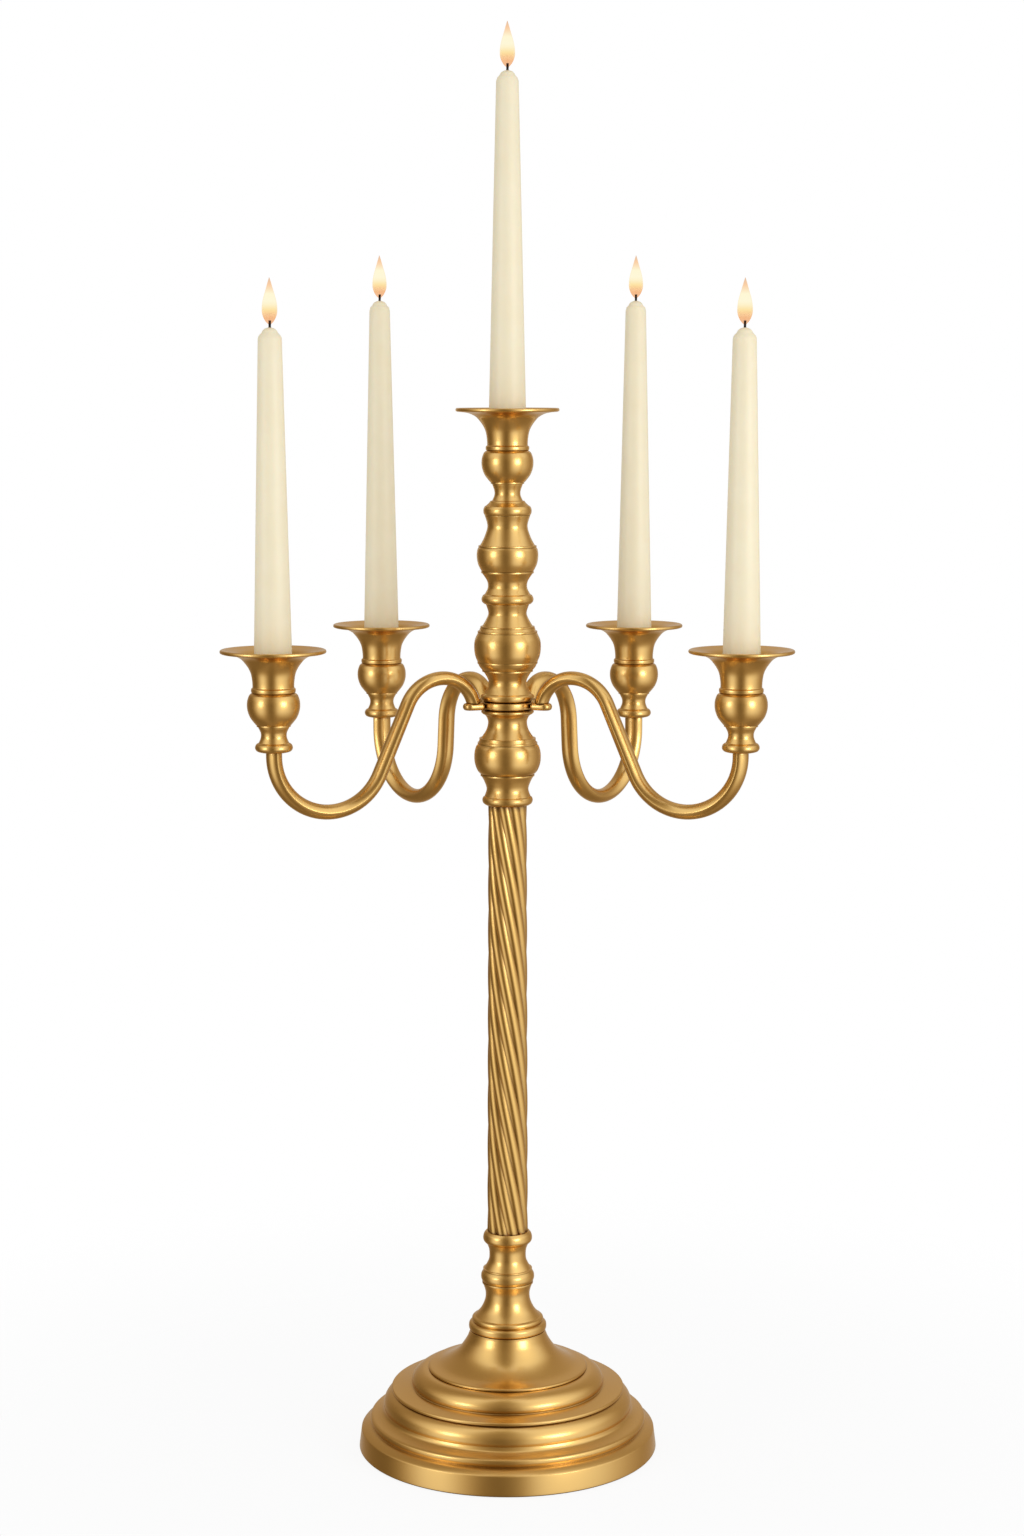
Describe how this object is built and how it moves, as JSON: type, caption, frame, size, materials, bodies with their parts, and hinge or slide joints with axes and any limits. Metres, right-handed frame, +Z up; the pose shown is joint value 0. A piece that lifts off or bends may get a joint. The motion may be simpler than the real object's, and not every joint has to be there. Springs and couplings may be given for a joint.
{
  "type": "candelabra",
  "caption": "Turned brass candelabra with a moulded round base, a twisted shaft, scrolled arms on a turning hub and a dished cup for each taper candle",
  "frame": {"origin": "centre of the felt's underside, on the stem's axis at table height", "axes": "+Z up the stem, -Y towards the front, +X to the right as seen from the front"},
  "size_m": [0.3264, 0.243, 0.8255],
  "materials": {
    "brass": "satin, brushed round the turned pieces",
    "cast_iron": "rough cast",
    "steel": "plain machined",
    "felt": "matt wool felt",
    "wax": "smooth ivory wax",
    "wick": "charred braided cotton"
  },
  "bodies": {
    "root": {"felt_pad": "felt", "base_shell": "brass", "base_ballast": "cast_iron", "base_washer": "steel", "base_nut": "steel", "tie_rod": "steel", "stem_foot": "brass", "twisted_shaft": "brass", "lower_knop": "brass", "upper_knop": "brass", "middle_baluster": "brass", "candle_cup_centre": "brass"},
    "arms": {"hub_ring": "brass", "arm_shoe_front_right": "brass", "arm_screw_front_right": "steel", "arm_front_right": "brass", "candle_cup_front_right": "brass", "arm_shoe_back_right": "brass", "arm_screw_back_right": "steel", "arm_back_right": "brass", "candle_cup_back_right": "brass", "arm_shoe_back_left": "brass", "arm_screw_back_left": "steel", "arm_back_left": "brass", "candle_cup_back_left": "brass", "arm_shoe_front_left": "brass", "arm_screw_front_left": "steel", "arm_front_left": "brass", "candle_cup_front_left": "brass"},
    "taper_centre": {"candle_centre": "wax", "wick_centre": "wick"},
    "taper_front_right": {"candle_front_right": "wax", "wick_front_right": "wick"},
    "taper_back_right": {"candle_back_right": "wax", "wick_back_right": "wick"},
    "taper_back_left": {"candle_back_left": "wax", "wick_back_left": "wick"},
    "taper_front_left": {"candle_front_left": "wax", "wick_front_left": "wick"}
  },
  "joints": [
    {"name": "arm_swivel", "type": "hinge", "parent": "root", "child": "arms", "pos_m": [0, 0, 0.4541], "axis": [0, 0, 1], "continuous": true},
    {"name": "taper_centre_lift", "type": "slide", "parent": "root", "child": "taper_centre", "axis": [0, 0, 1], "range_m": [0, 0.032]},
    {"name": "taper_front_right_lift", "type": "slide", "parent": "arms", "child": "taper_front_right", "axis": [0, 0, 1], "range_m": [0, 0.032]},
    {"name": "taper_back_right_lift", "type": "slide", "parent": "arms", "child": "taper_back_right", "axis": [0, 0, 1], "range_m": [0, 0.032]},
    {"name": "taper_back_left_lift", "type": "slide", "parent": "arms", "child": "taper_back_left", "axis": [0, 0, 1], "range_m": [0, 0.032]},
    {"name": "taper_front_left_lift", "type": "slide", "parent": "arms", "child": "taper_front_left", "axis": [0, 0, 1], "range_m": [0, 0.032]}
  ]
}
